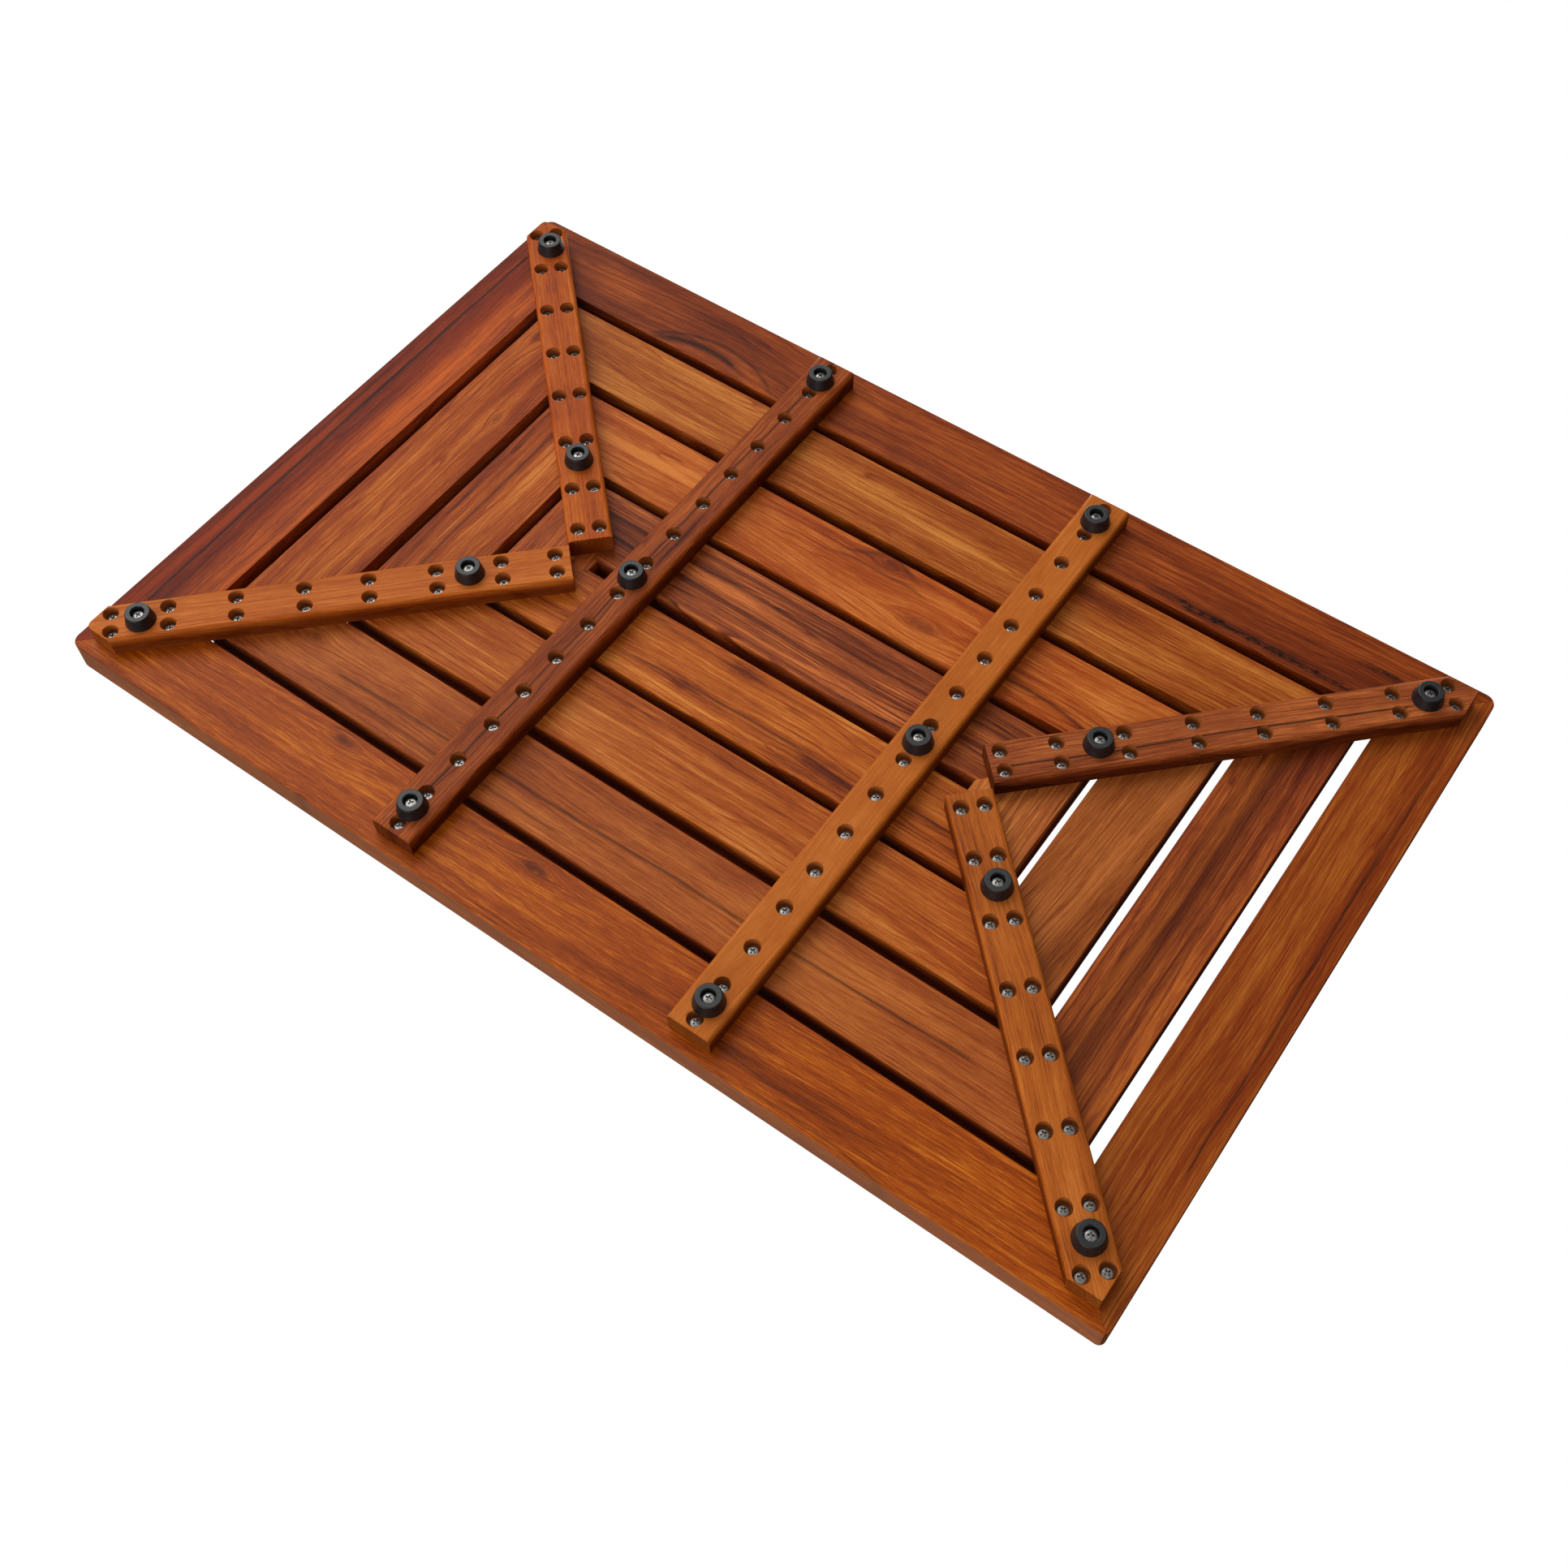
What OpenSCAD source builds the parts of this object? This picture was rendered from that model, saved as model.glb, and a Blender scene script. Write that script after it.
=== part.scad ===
// Slatted teak bath mat: four concentric mitred rings of slats, held by screwed battens on rubber feet.
// Millimetres. Z up, the feet stand on z = 0, the origin is at the middle of the footprint.
// Front is -Y, the long sides run along X.

/* [Size] */
// Length of the mat
mat_length = 800; // [700:1:1000]
// Width of the mat
mat_width = 506.8; // [500:0.1:520]
// Thickness of the slats
slat_thickness = 22; // [12:0.5:28]

/* [Slats] */
// Widths of the long slats, from the outer ring to the inner one
long_widths = [55.6, 56.3, 56.8, 55.8];
// Gaps inside the long slats of the outer, second and third ring
long_gaps = [7.7, 9, 7.5];
// Widths of the short slats, from the outer ring to the inner one
short_widths = [54.6, 55.2, 55.4, 55.4];
// Gaps inside the short slats of the outer, second and third ring
short_gaps = [9.4, 8.2, 7.8];
// Rounding along the edges of the slats
slat_edge_radius = 0.6; // [0.3:0.1:3]
// Rounding of the mat's corners in plan at front right, back right, back left and front left
corner_radii = [8, 7, 8, 4.5];
// Width of the hairline joint at the mitres
mitre_joint = 0.3; // [0.1:0.1:1]

/* [Battens] */
// Width of a batten
batten_width = 31; // [24:0.5:40]
// Thickness of a batten
batten_thickness = 15; // [10:0.5:22]
// Rounding of the batten edges on the feet side
batten_foot_radius = 3; // [1:0.5:5]
// Rounding of the batten edges against the slats
batten_slat_radius = 1.2; // [0.5:0.1:3]
// Length of a cross batten
cross_length = 486; // [300:1:500]
// Distance of the right cross batten from the middle
cross_right_x = 116.8; // [80:0.1:160]
// Distance of the left cross batten from the middle
cross_left_x = 113.4; // [80:0.1:160]
// Shift of the cross battens towards the front
cross_shift = 1.7; // [0:0.1:5]
// Length of a corner batten from its point to its square end
corner_length = 324.3; // [280:0.1:340]
// Distance from the mat's corner to the batten's point at front right, back right, back left and front left
corner_inset = [15, 18, 17.5, 15.2];
// Sideways shift of the corner battens off the mitre, towards the short end, in the same order
corner_shift = [-0.4, 4.2, 0, -0.4];
// Rounding of the corner battens' points, in the same order
corner_point_radii = [5, 4, 2, 1];

/* [Batten screws] */
// Distances of the cross batten screws from the batten's middle, on either side
cross_screws = [15.6, 47, 80.7, 113.5, 145.3, 178.3, 208.6, 235];
// Distances of the screw pairs from a corner batten's point
corner_screws = [16.2, 54, 98.8, 144.1, 187.2, 232.6, 276.8, 313.6];
// Shift of all these pairs along the batten at front right, back right, back left and front left
corner_screw_shift = [0, -0.5, 1.5, -0.5];
// Distance between the two screws of a pair
pair_spacing = 15; // [12:0.5:18]
// Diameter of the counterbores
bore_diameter = 10.4; // [9:0.1:12]
// Depth of the counterbores
bore_depth = 7; // [4:0.5:9]
// Diameter of the screw heads
head_diameter = 8; // [6:0.1:9]
// Height of the screw heads
head_height = 2.2; // [1.5:0.1:3]
// Diameter of the screw shanks
shank_diameter = 3.9; // [3:0.1:4.5]
// Depth of the batten screws in the slats
slat_bite = 13; // [8:0.5:18]
// Length of the point of a screw
tip_length = 4; // [2:0.5:6]

/* [Feet] */
// Height of a foot
foot_height = 8.8; // [5:0.1:15]
// Diameter of a foot against the batten
foot_base_diameter = 20.6; // [16:0.1:26]
// Diameter of a foot where it stands
foot_face_diameter = 17; // [12:0.1:24]
// Diameter of the recess for the foot screw
foot_recess_diameter = 9.2; // [8.4:0.1:11]
// Depth of the recess for the foot screw
foot_recess_depth = 6; // [4:0.1:7]
// Thickness of the washer in the recess
washer_thickness = 1; // [0.5:0.1:1.5]
// Depth of the foot screws in the battens
batten_bite = 11.5; // [8:0.5:13]
// Distance of the outer feet from a cross batten's middle
cross_foot = 222; // [180:0.5:230]
// Places of the two feet on a corner batten, along from its point and across towards the short end
feet_front_right = [[36.5, -1.5], [255.5, 0.5]];
feet_back_right = [[33, -2], [251.5, 0]];
feet_back_left = [[35.5, 0.5], [253, -1]];
feet_front_left = [[34.5, 1.5], [255, 1.5]];

/* [Hidden] */
$fn = 48;
eps = 0.01;
half_l = mat_length / 2;
half_w = mat_width / 2;
batten_z = foot_height;
slat_z = foot_height + batten_thickness;
shank_r = shank_diameter / 2;
pilot_play = 0.05;
clearance = 0.2;
pilot_r = shank_r + pilot_play;
clear_r = shank_r + clearance;
pair_half = pair_spacing / 2;
seat_z = foot_recess_depth - washer_thickness;
tip_r = 0.4;
head_bevel = 0.6;
drive_width = 1.1;
drive_length = 4.2;
drive_depth = 1.1;
bore_play = 0.3;
foot_rim = 0.9;
foot_lip = 0.5;
foot_flare = 0.15;
foot_flare_height = 1.2;
washer_play = 0.1;
walnut = [0.42, 0.22, 0.12];
teak = [0.62, 0.35, 0.17];
honey = [0.68, 0.42, 0.2];
rubber = [0.13, 0.13, 0.15];
steel = [0.75, 0.75, 0.76];
// Corners as [x side, y side, index]
front_right = [1, -1, 0];
back_right = [1, 1, 1];
back_left = [-1, 1, 2];
front_left = [-1, -1, 3];
corner_feet = [feet_front_right, feet_back_right, feet_back_left, feet_front_left];

// ---- profiles and bars -------------------------------------------------------------------------

// Cross section of a bar, centred on x, from y = 0 up to y = t, with its own rounding low and high
module bar_section(w, t, low_r, high_r) {
  translate([-w / 2, low_r])
    square([w, t - low_r - high_r]);
  translate([-w / 2 + low_r, 0])
    square([w - 2 * low_r, t / 2]);
  translate([-w / 2 + high_r, t / 2])
    square([w - 2 * high_r, t / 2]);
  for (side = [-1, 1]) {
    translate([side * (w / 2 - low_r), low_r])
      circle(r = low_r);
    translate([side * (w / 2 - high_r), t - high_r])
      circle(r = high_r);
  }
}

// Bar along x from 0 to length, centred on y, standing on z = 0
module bar(length, w, t, low_r, high_r) {
  rotate([90, 0, 90])
    linear_extrude(height = length)
      bar_section(w, t, low_r, high_r);
}

// ---- slats -------------------------------------------------------------------------------------

// Sum of the first n values of a list
function sum_of(values, n) = n == 0 ? 0 : values[n - 1] + sum_of(values, n - 1);

// Distance of a ring's outer and inner edge from the middle of the mat, at its long and its short slats
function long_outer(ring) = half_w - sum_of(long_widths, ring) - sum_of(long_gaps, ring);
function long_inner(ring) = long_outer(ring) - long_widths[ring];
function short_outer(ring) = half_l - sum_of(short_widths, ring) - sum_of(short_gaps, ring);
function short_inner(ring) = short_outer(ring) - short_widths[ring];

// One mitred slat along x, its outer edge on y = 0 and its inner edge on y = width
module mitred_slat(outer_half, inner_half, width) {
  joint = mitre_joint * sqrt(0.5);
  intersection() {
    translate([-outer_half, width / 2, slat_z])
      bar(2 * outer_half, width, slat_thickness, slat_edge_radius, slat_edge_radius);
    translate([0, 0, slat_z])
      linear_extrude(height = slat_thickness)
        polygon([
          [-outer_half + joint, 0],
          [outer_half - joint, 0],
          [inner_half - joint, width],
          [-inner_half + joint, width]
        ]);
  }
}

// Puts a child drawn from a corner (x and y inwards from the mat's corner) at that corner
module at_corner(corner) {
  translate([corner[0] * half_l, corner[1] * half_w, 0])
    mirror([corner[0] > 0 ? 1 : 0, 0, 0])
      mirror([0, corner[1] > 0 ? 1 : 0, 0])
        children();
}

// Puts a child drawn along a corner batten (x from its point, y across) at that corner
module on_corner_batten(corner) {
  at_corner(corner)
    rotate([0, 0, 45])
      translate([corner_inset[corner[2]], corner_shift[corner[2]], 0])
        children();
}

// Waste outside the rounding of one corner of the mat
module corner_waste(corner) {
  r = corner_radii[corner[2]];
  at_corner(corner)
    translate([0, 0, slat_z - 1])
      difference() {
        translate([-1, -1, 0])
          cube([r + 1, r + 1, slat_thickness + 2]);
        translate([r, r, -1])
          cylinder(r = r, h = slat_thickness + 4);
      }
}

// Distance of a screw pair from a corner batten's point
function corner_screw_x(corner, i) = corner_screws[i] + corner_screw_shift[corner[2]];

// Pilot hole of one batten screw in a slat
module pilot() {
  translate([0, 0, slat_z - 1])
    cylinder(r = pilot_r, h = slat_bite + 1 + bore_play);
}

// Pilot holes of one ring under the corner battens; side is 1 for the short slats and -1 for the long ones
module corner_pilots(corner, ring, side) {
  for (i = [2 * ring, 2 * ring + 1])
    on_corner_batten(corner)
      translate([corner_screw_x(corner, i), side * pair_half, 0])
        pilot();
}

// Pilot holes of one long slat under the two cross battens
module cross_pilots(ring, side) {
  for (x = [-cross_left_x, cross_right_x])
    for (i = [6 - 2 * ring, 7 - 2 * ring])
      translate([x, side * cross_screws[i] - cross_shift, 0])
        pilot();
}

// Long slat of one ring: side is -1 in front and 1 at the back
module long_slat(ring, side) {
  difference() {
    translate([0, side * long_outer(ring), 0])
      mirror([0, side > 0 ? 1 : 0, 0])
        mitred_slat(short_outer(ring), short_inner(ring), long_widths[ring]);
    if (ring == 0) {
      corner_waste(side < 0 ? front_right : back_right);
      corner_waste(side < 0 ? front_left : back_left);
    }
    corner_pilots(side < 0 ? front_right : back_right, ring, -1);
    corner_pilots(side < 0 ? front_left : back_left, ring, -1);
    cross_pilots(ring, side);
  }
}

// Short slat of one ring: side is -1 at the left and 1 at the right
module short_slat(ring, side) {
  difference() {
    translate([side * short_outer(ring), 0, 0])
      rotate([0, 0, side < 0 ? -90 : 90])
        mitred_slat(long_outer(ring), long_inner(ring), short_widths[ring]);
    if (ring == 0) {
      corner_waste(side < 0 ? front_left : front_right);
      corner_waste(side < 0 ? back_left : back_right);
    }
    corner_pilots(side < 0 ? front_left : front_right, ring, 1);
    corner_pilots(side < 0 ? back_left : back_right, ring, 1);
  }
}

// ---- battens -----------------------------------------------------------------------------------

// Counterbore and clearance hole for one batten screw
module screw_bore() {
  translate([0, 0, batten_z - 1])
    cylinder(d = bore_diameter, h = bore_depth + 1);
  translate([0, 0, batten_z])
    cylinder(r = clear_r, h = batten_thickness + 1);
}

// Pilot hole for one foot screw
module foot_bore() {
  translate([0, 0, batten_z - 1])
    cylinder(r = pilot_r, h = batten_bite + 1 + bore_play);
}

module cross_batten(x) {
  difference() {
    translate([x, -cross_length / 2 - cross_shift, batten_z])
      rotate([0, 0, 90])
        bar(cross_length, batten_width, batten_thickness, batten_foot_radius, batten_slat_radius);
    for (side = [-1, 1])
      for (y = cross_screws)
        translate([x, side * y - cross_shift, 0])
          screw_bore();
    for (y = [-cross_foot, 0, cross_foot])
      translate([x, y - cross_shift, 0])
        foot_bore();
  }
}

// Waste outside the rounding of a corner batten's point
module point_waste(r) {
  translate([0, 0, batten_z - 1])
    rotate([0, 0, -45])
      difference() {
        translate([-1, -1, 0])
          cube([r + 1, r + 1, batten_thickness + 2]);
        translate([r, r, -1])
          cylinder(r = r, h = batten_thickness + 4);
      }
}

module corner_batten(corner) {
  reach = batten_width;
  on_corner_batten(corner)
    difference() {
      intersection() {
        translate([0, 0, batten_z])
          bar(corner_length, batten_width, batten_thickness, batten_foot_radius, batten_slat_radius);
        translate([0, 0, batten_z - 1])
          linear_extrude(height = batten_thickness + 2)
            polygon([
              [0, 0],
              [reach, -reach],
              [corner_length + reach, -reach],
              [corner_length + reach, reach],
              [reach, reach]
            ]);
      }
      point_waste(corner_point_radii[corner[2]]);
      for (i = [0:len(corner_screws) - 1])
        for (side = [-1, 1])
          translate([corner_screw_x(corner, i), side * pair_half, 0])
            screw_bore();
      for (place = corner_feet[corner[2]])
        translate(place)
          foot_bore();
    }
}

// ---- screws ------------------------------------------------------------------------------------

// Cross recessed pan head screw: its head starts at z = 0 and the shank runs up
module screw(shank) {
  difference() {
    union() {
      translate([0, 0, head_bevel])
        cylinder(d = head_diameter, h = head_height - head_bevel);
      cylinder(d1 = head_diameter - 2 * head_bevel, d2 = head_diameter, h = head_bevel);
      translate([0, 0, head_height])
        cylinder(r = shank_r, h = shank - tip_length);
      translate([0, 0, head_height + shank - tip_length])
        cylinder(r1 = shank_r, r2 = tip_r, h = tip_length);
    }
    for (turn = [0, 90])
      rotate([0, 0, turn])
        translate([-drive_length / 2, -drive_width / 2, -eps])
          cube([drive_length, drive_width, drive_depth]);
  }
}

module batten_screw() {
  translate([0, 0, batten_z + bore_depth - head_height])
    screw(batten_thickness - bore_depth + slat_bite);
}

module foot_screw() {
  translate([0, 0, seat_z - head_height])
    screw(foot_height - seat_z + batten_bite);
}

module cross_batten_screws(x) {
  for (side = [-1, 1])
    for (y = cross_screws)
      translate([x, side * y - cross_shift, 0])
        batten_screw();
}

module corner_batten_screws(corner) {
  for (i = [0:len(corner_screws) - 1])
    for (side = [-1, 1])
      on_corner_batten(corner)
        translate([corner_screw_x(corner, i), side * pair_half, 0])
          batten_screw();
}

// ---- feet --------------------------------------------------------------------------------------

// A tapered rubber foot with a recess for its screw
module foot() {
  face_r = foot_face_diameter / 2;
  base_r = foot_base_diameter / 2;
  recess_r = foot_recess_diameter / 2;
  rotate_extrude()
    polygon([
      [recess_r + foot_lip, 0],
      [face_r - foot_rim, 0],
      [face_r - foot_rim / 3, foot_rim / 3],
      [face_r, foot_rim],
      [base_r - foot_flare, foot_height - foot_flare_height],
      [base_r, foot_height],
      [clear_r, foot_height],
      [clear_r, foot_recess_depth],
      [recess_r, foot_recess_depth],
      [recess_r, foot_lip]
    ]);
}

module washer() {
  translate([0, 0, seat_z])
    difference() {
      cylinder(d = foot_recess_diameter - 2 * washer_play, h = washer_thickness);
      translate([0, 0, -1])
        cylinder(r = shank_r + washer_play, h = washer_thickness + 2);
    }
}

// Puts a child at every foot
module at_every_foot() {
  for (x = [-cross_left_x, cross_right_x])
    for (y = [-cross_foot, 0, cross_foot])
      translate([x, y - cross_shift, 0])
        children();
  for (corner = [front_right, back_right, back_left, front_left])
    for (place = corner_feet[corner[2]])
      on_corner_batten(corner)
        translate(place)
          children();
}

module cross_foot_at(x, y) {
  color(rubber)
    translate([x, y - cross_shift, 0])
      foot();
}

module corner_foot_at(corner, which) {
  color(rubber)
    on_corner_batten(corner)
      translate(corner_feet[corner[2]][which])
        foot();
}

// ---- nodes -------------------------------------------------------------------------------------

module outer_slat_front() { color(teak) long_slat(0, -1); }
module outer_slat_back() { color(walnut) long_slat(0, 1); }
module outer_slat_left() { color(teak) short_slat(0, -1); }
module outer_slat_right() { color(walnut) short_slat(0, 1); }
module second_slat_front() { color(teak) long_slat(1, -1); }
module second_slat_back() { color(honey) long_slat(1, 1); }
module second_slat_left() { color(walnut) short_slat(1, -1); }
module second_slat_right() { color(teak) short_slat(1, 1); }
module third_slat_front() { color(teak) long_slat(2, -1); }
module third_slat_back() { color(teak) long_slat(2, 1); }
module third_slat_left() { color(honey) short_slat(2, -1); }
module third_slat_right() { color(teak) short_slat(2, 1); }
module inner_slat_front() { color(teak) long_slat(3, -1); }
module inner_slat_back() { color(walnut) long_slat(3, 1); }
module inner_slat_left() { color(walnut) short_slat(3, -1); }
module inner_slat_right() { color(teak) short_slat(3, 1); }
module cross_batten_left() { color(honey) cross_batten(-cross_left_x); }
module cross_batten_right() { color(walnut) cross_batten(cross_right_x); }
module corner_batten_front_right() { color(honey) corner_batten(front_right); }
module corner_batten_back_right() { color(teak) corner_batten(back_right); }
module corner_batten_back_left() { color(walnut) corner_batten(back_left); }
module corner_batten_front_left() { color(honey) corner_batten(front_left); }
module foot_cross_left_front() { cross_foot_at(-cross_left_x, -cross_foot); }
module foot_cross_left_middle() { cross_foot_at(-cross_left_x, 0); }
module foot_cross_left_back() { cross_foot_at(-cross_left_x, cross_foot); }
module foot_cross_right_front() { cross_foot_at(cross_right_x, -cross_foot); }
module foot_cross_right_middle() { cross_foot_at(cross_right_x, 0); }
module foot_cross_right_back() { cross_foot_at(cross_right_x, cross_foot); }
module foot_front_right_outer() { corner_foot_at(front_right, 0); }
module foot_front_right_inner() { corner_foot_at(front_right, 1); }
module foot_back_right_outer() { corner_foot_at(back_right, 0); }
module foot_back_right_inner() { corner_foot_at(back_right, 1); }
module foot_back_left_outer() { corner_foot_at(back_left, 0); }
module foot_back_left_inner() { corner_foot_at(back_left, 1); }
module foot_front_left_outer() { corner_foot_at(front_left, 0); }
module foot_front_left_inner() { corner_foot_at(front_left, 1); }
module screws_cross_left() { color(steel) cross_batten_screws(-cross_left_x); }
module screws_cross_right() { color(steel) cross_batten_screws(cross_right_x); }
module screws_front_right() { color(steel) corner_batten_screws(front_right); }
module screws_back_right() { color(steel) corner_batten_screws(back_right); }
module screws_back_left() { color(steel) corner_batten_screws(back_left); }
module screws_front_left() { color(steel) corner_batten_screws(front_left); }
module foot_washers() { color(steel) at_every_foot() washer(); }
module foot_screws() { color(steel) at_every_foot() foot_screw(); }

outer_slat_front();
outer_slat_back();
outer_slat_left();
outer_slat_right();
second_slat_front();
second_slat_back();
second_slat_left();
second_slat_right();
third_slat_front();
third_slat_back();
third_slat_left();
third_slat_right();
inner_slat_front();
inner_slat_back();
inner_slat_left();
inner_slat_right();
cross_batten_left();
cross_batten_right();
corner_batten_front_right();
corner_batten_back_right();
corner_batten_back_left();
corner_batten_front_left();
foot_cross_left_front();
foot_cross_left_middle();
foot_cross_left_back();
foot_cross_right_front();
foot_cross_right_middle();
foot_cross_right_back();
foot_front_right_outer();
foot_front_right_inner();
foot_back_right_outer();
foot_back_right_inner();
foot_back_left_outer();
foot_back_left_inner();
foot_front_left_outer();
foot_front_left_inner();
screws_cross_left();
screws_cross_right();
screws_front_right();
screws_back_right();
screws_back_left();
screws_front_left();
foot_washers();
foot_screws();
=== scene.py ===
"""Looks of the slatted teak bath mat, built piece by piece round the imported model.

Metres, +Z up, the mat standing on its feet. The camera looks up at the underside, as the mat is shown
leaning back. Every wooden piece carries its own grain frame (along, across, depth, in millimetres) as a mesh
attribute, and its material draws growth rings, streaks, knots and pores in that frame.
"""

import math
import random
from types import SimpleNamespace

import bmesh
import bpy
from mathutils import Matrix, Quaternion, Vector


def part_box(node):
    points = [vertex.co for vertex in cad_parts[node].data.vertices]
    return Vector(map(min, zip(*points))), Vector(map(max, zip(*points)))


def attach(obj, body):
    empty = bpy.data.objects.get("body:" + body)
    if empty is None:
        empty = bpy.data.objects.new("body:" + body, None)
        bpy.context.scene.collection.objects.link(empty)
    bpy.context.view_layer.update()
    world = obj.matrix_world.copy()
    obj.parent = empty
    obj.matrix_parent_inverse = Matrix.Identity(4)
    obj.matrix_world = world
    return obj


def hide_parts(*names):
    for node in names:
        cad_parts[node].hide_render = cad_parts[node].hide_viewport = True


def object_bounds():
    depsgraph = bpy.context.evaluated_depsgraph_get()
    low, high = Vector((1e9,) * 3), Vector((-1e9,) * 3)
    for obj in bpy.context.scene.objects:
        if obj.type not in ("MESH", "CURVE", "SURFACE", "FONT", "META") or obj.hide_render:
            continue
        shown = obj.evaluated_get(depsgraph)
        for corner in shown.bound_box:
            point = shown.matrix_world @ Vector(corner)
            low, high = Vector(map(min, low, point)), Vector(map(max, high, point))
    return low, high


MM = 0.001
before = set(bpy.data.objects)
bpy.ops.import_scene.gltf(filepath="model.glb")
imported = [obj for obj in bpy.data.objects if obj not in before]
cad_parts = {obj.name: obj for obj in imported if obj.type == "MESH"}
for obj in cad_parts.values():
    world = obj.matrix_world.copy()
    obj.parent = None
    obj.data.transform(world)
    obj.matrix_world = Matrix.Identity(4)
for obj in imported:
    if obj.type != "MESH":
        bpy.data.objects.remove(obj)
cad_low, cad_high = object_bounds()
half_length = cad_high.x
half_width = cad_high.y
rng = random.Random(7)

# ---- sizes that the frame's boxes don't give -----------------------------------------------------

CORNERS = {"front_right": (1, -1), "back_right": (1, 1), "back_left": (-1, 1), "front_left": (-1, -1)}

# Slats: rounding of the edges, the joint at the mitres and its rounding, and the mat's corners in plan.
SLAT_EDGE = 0.6 * MM
MITRE_JOINT = 0.02 * MM
MITRE_EDGE = 0.2 * MM
CORNER_RADIUS = {"front_right": 8 * MM, "back_right": 7 * MM, "back_left": 8 * MM, "front_left": 4.5 * MM}
CORNER_STEPS = 6

# Battens: rounding of the long edges, of the ends, and of a corner batten's point and shoulders.
BATTEN_FOOT_EDGE = 3 * MM
BATTEN_SLAT_EDGE = 1.2 * MM
BATTEN_END_EDGE = 0.8 * MM
POINT_RADIUS = {"front_right": 5 * MM, "back_right": 4 * MM, "back_left": 2 * MM, "front_left": 1 * MM}
POINT_STEPS = 8
SHOULDER_EDGE = 1 * MM

# Counterbores, and the clearance holes through their floors.
BORE_RADIUS = 5.2 * MM
BORE_DEPTH = 7 * MM
BORE_CHAMFER = 0.35 * MM
CLEARANCE_RADIUS = 2.15 * MM

# Screws. The cross recess has a half length, a half width and a height at its mouth and at its floor.
HEAD_RADIUS = 4 * MM
HEAD_HEIGHT = 2.2 * MM
HEAD_DOME = 0.75 * MM
HEAD_RIM = 0.15 * MM
SHANK_RADIUS = 1.95 * MM
TIP_RADIUS = 0.4 * MM
TIP_LENGTH = 4 * MM
RECESS_MOUTH = (2.35 * MM, 0.62 * MM, -0.5 * MM)
RECESS_FLOOR = (1.0 * MM, 0.42 * MM, 1.5 * MM)
SCREW_LEAN = 1.5

# Washers and feet.
WASHER_RADIUS = 4.5 * MM
WASHER_EDGE = 0.15 * MM
FOOT_TAPER = 1.8 * MM
FOOT_RIM = 0.9 * MM
FOOT_FLARE = 0.25 * MM
FOOT_RECESS_RADIUS = 4.6 * MM
FOOT_RECESS_DEPTH = 6 * MM
FOOT_RECESS_LIP = 0.55 * MM
FOOT_RECESS_EDGE = 0.2 * MM
FOOT_HOLE_PLAY = 0.2 * MM

# Points closer than this are one point, and a shorter edge is no edge.
SAME_POINT = 0.004 * MM
NO_EDGE = 0.002 * MM

# How finely round things are cut up, and the angles in degrees at which an edge stays crisp.
BATTEN_EDGE_STEPS = 6
BORE_SIDES = 48
SCREW_SIDES = 40
WASHER_SIDES = 48
FOOT_SIDES = 72
METAL_CREASE = 30
RUBBER_CREASE = 32


# ---- mesh helpers --------------------------------------------------------------------------------


def new_object(name, bm):
    """An object made of a bmesh, at the origin of the row frame."""
    mesh = bpy.data.meshes.new(name)
    bm.to_mesh(mesh)
    bm.free()
    piece = bpy.data.objects.new(name, mesh)
    bpy.context.scene.collection.objects.link(piece)
    return piece


def applied(piece):
    """Bakes the piece's modifiers into its mesh."""
    graph = bpy.context.evaluated_depsgraph_get()
    mesh = bpy.data.meshes.new_from_object(piece.evaluated_get(graph), depsgraph=graph)
    piece.modifiers.clear()
    piece.data = mesh


def prism(name, outline, low, high, weight_of):
    """A solid standing on an outline.

    weight_of(kind, edge index) gives an edge's share of the widest bevel. A kind is low, high or upright.
    """
    bm = bmesh.new()
    weights = bm.edges.layers.float.new("bevel_weight_edge")
    bottom = [bm.verts.new((x, y, low)) for x, y in outline]
    top = [bm.verts.new((x, y, high)) for x, y in outline]
    bm.faces.new(list(reversed(bottom)))
    bm.faces.new(top)
    count = len(outline)
    for i in range(count):
        j = (i + 1) % count
        bm.faces.new((bottom[i], bottom[j], top[j], top[i]))
    for i in range(count):
        j = (i + 1) % count
        bm.edges.get((bottom[i], bottom[j]))[weights] = weight_of("low", i)
        bm.edges.get((top[i], top[j]))[weights] = weight_of("high", i)
        bm.edges.get((bottom[i], top[i]))[weights] = weight_of("upright", i)
    bmesh.ops.recalc_face_normals(bm, faces=bm.faces)
    return new_object(name, bm)


def bevel(piece, width, segments=5):
    """Rounds the weighted edges, each by its own share of the width."""
    cut = piece.modifiers.new("edges", "BEVEL")
    cut.limit_method = "WEIGHT"
    cut.width = width
    cut.segments = segments
    cut.use_clamp_overlap = False
    applied(piece)


def lathe(profile, segments=64):
    """A bmesh of a closed profile of (radius, height) points turned about Z."""
    bm = bmesh.new()
    rings = []
    for radius, height in profile:
        if radius == 0:
            rings.append([bm.verts.new((0, 0, height))])
            continue
        turn = [2 * math.pi * k / segments for k in range(segments)]
        rings.append([bm.verts.new((radius * math.cos(a), radius * math.sin(a), height)) for a in turn])
    closed = len(rings[0]) > 1 and len(rings[-1]) > 1
    pairs = list(zip(rings, rings[1:]))
    if closed:
        pairs.append((rings[-1], rings[0]))
    for a, b in pairs:
        for k in range(segments):
            n = (k + 1) % segments
            corners = list(dict.fromkeys((a[k % len(a)], a[n % len(a)], b[n % len(b)], b[k % len(b)])))
            if len(corners) > 2:
                bm.faces.new(corners)
    bmesh.ops.recalc_face_normals(bm, faces=bm.faces)
    return bm


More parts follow.
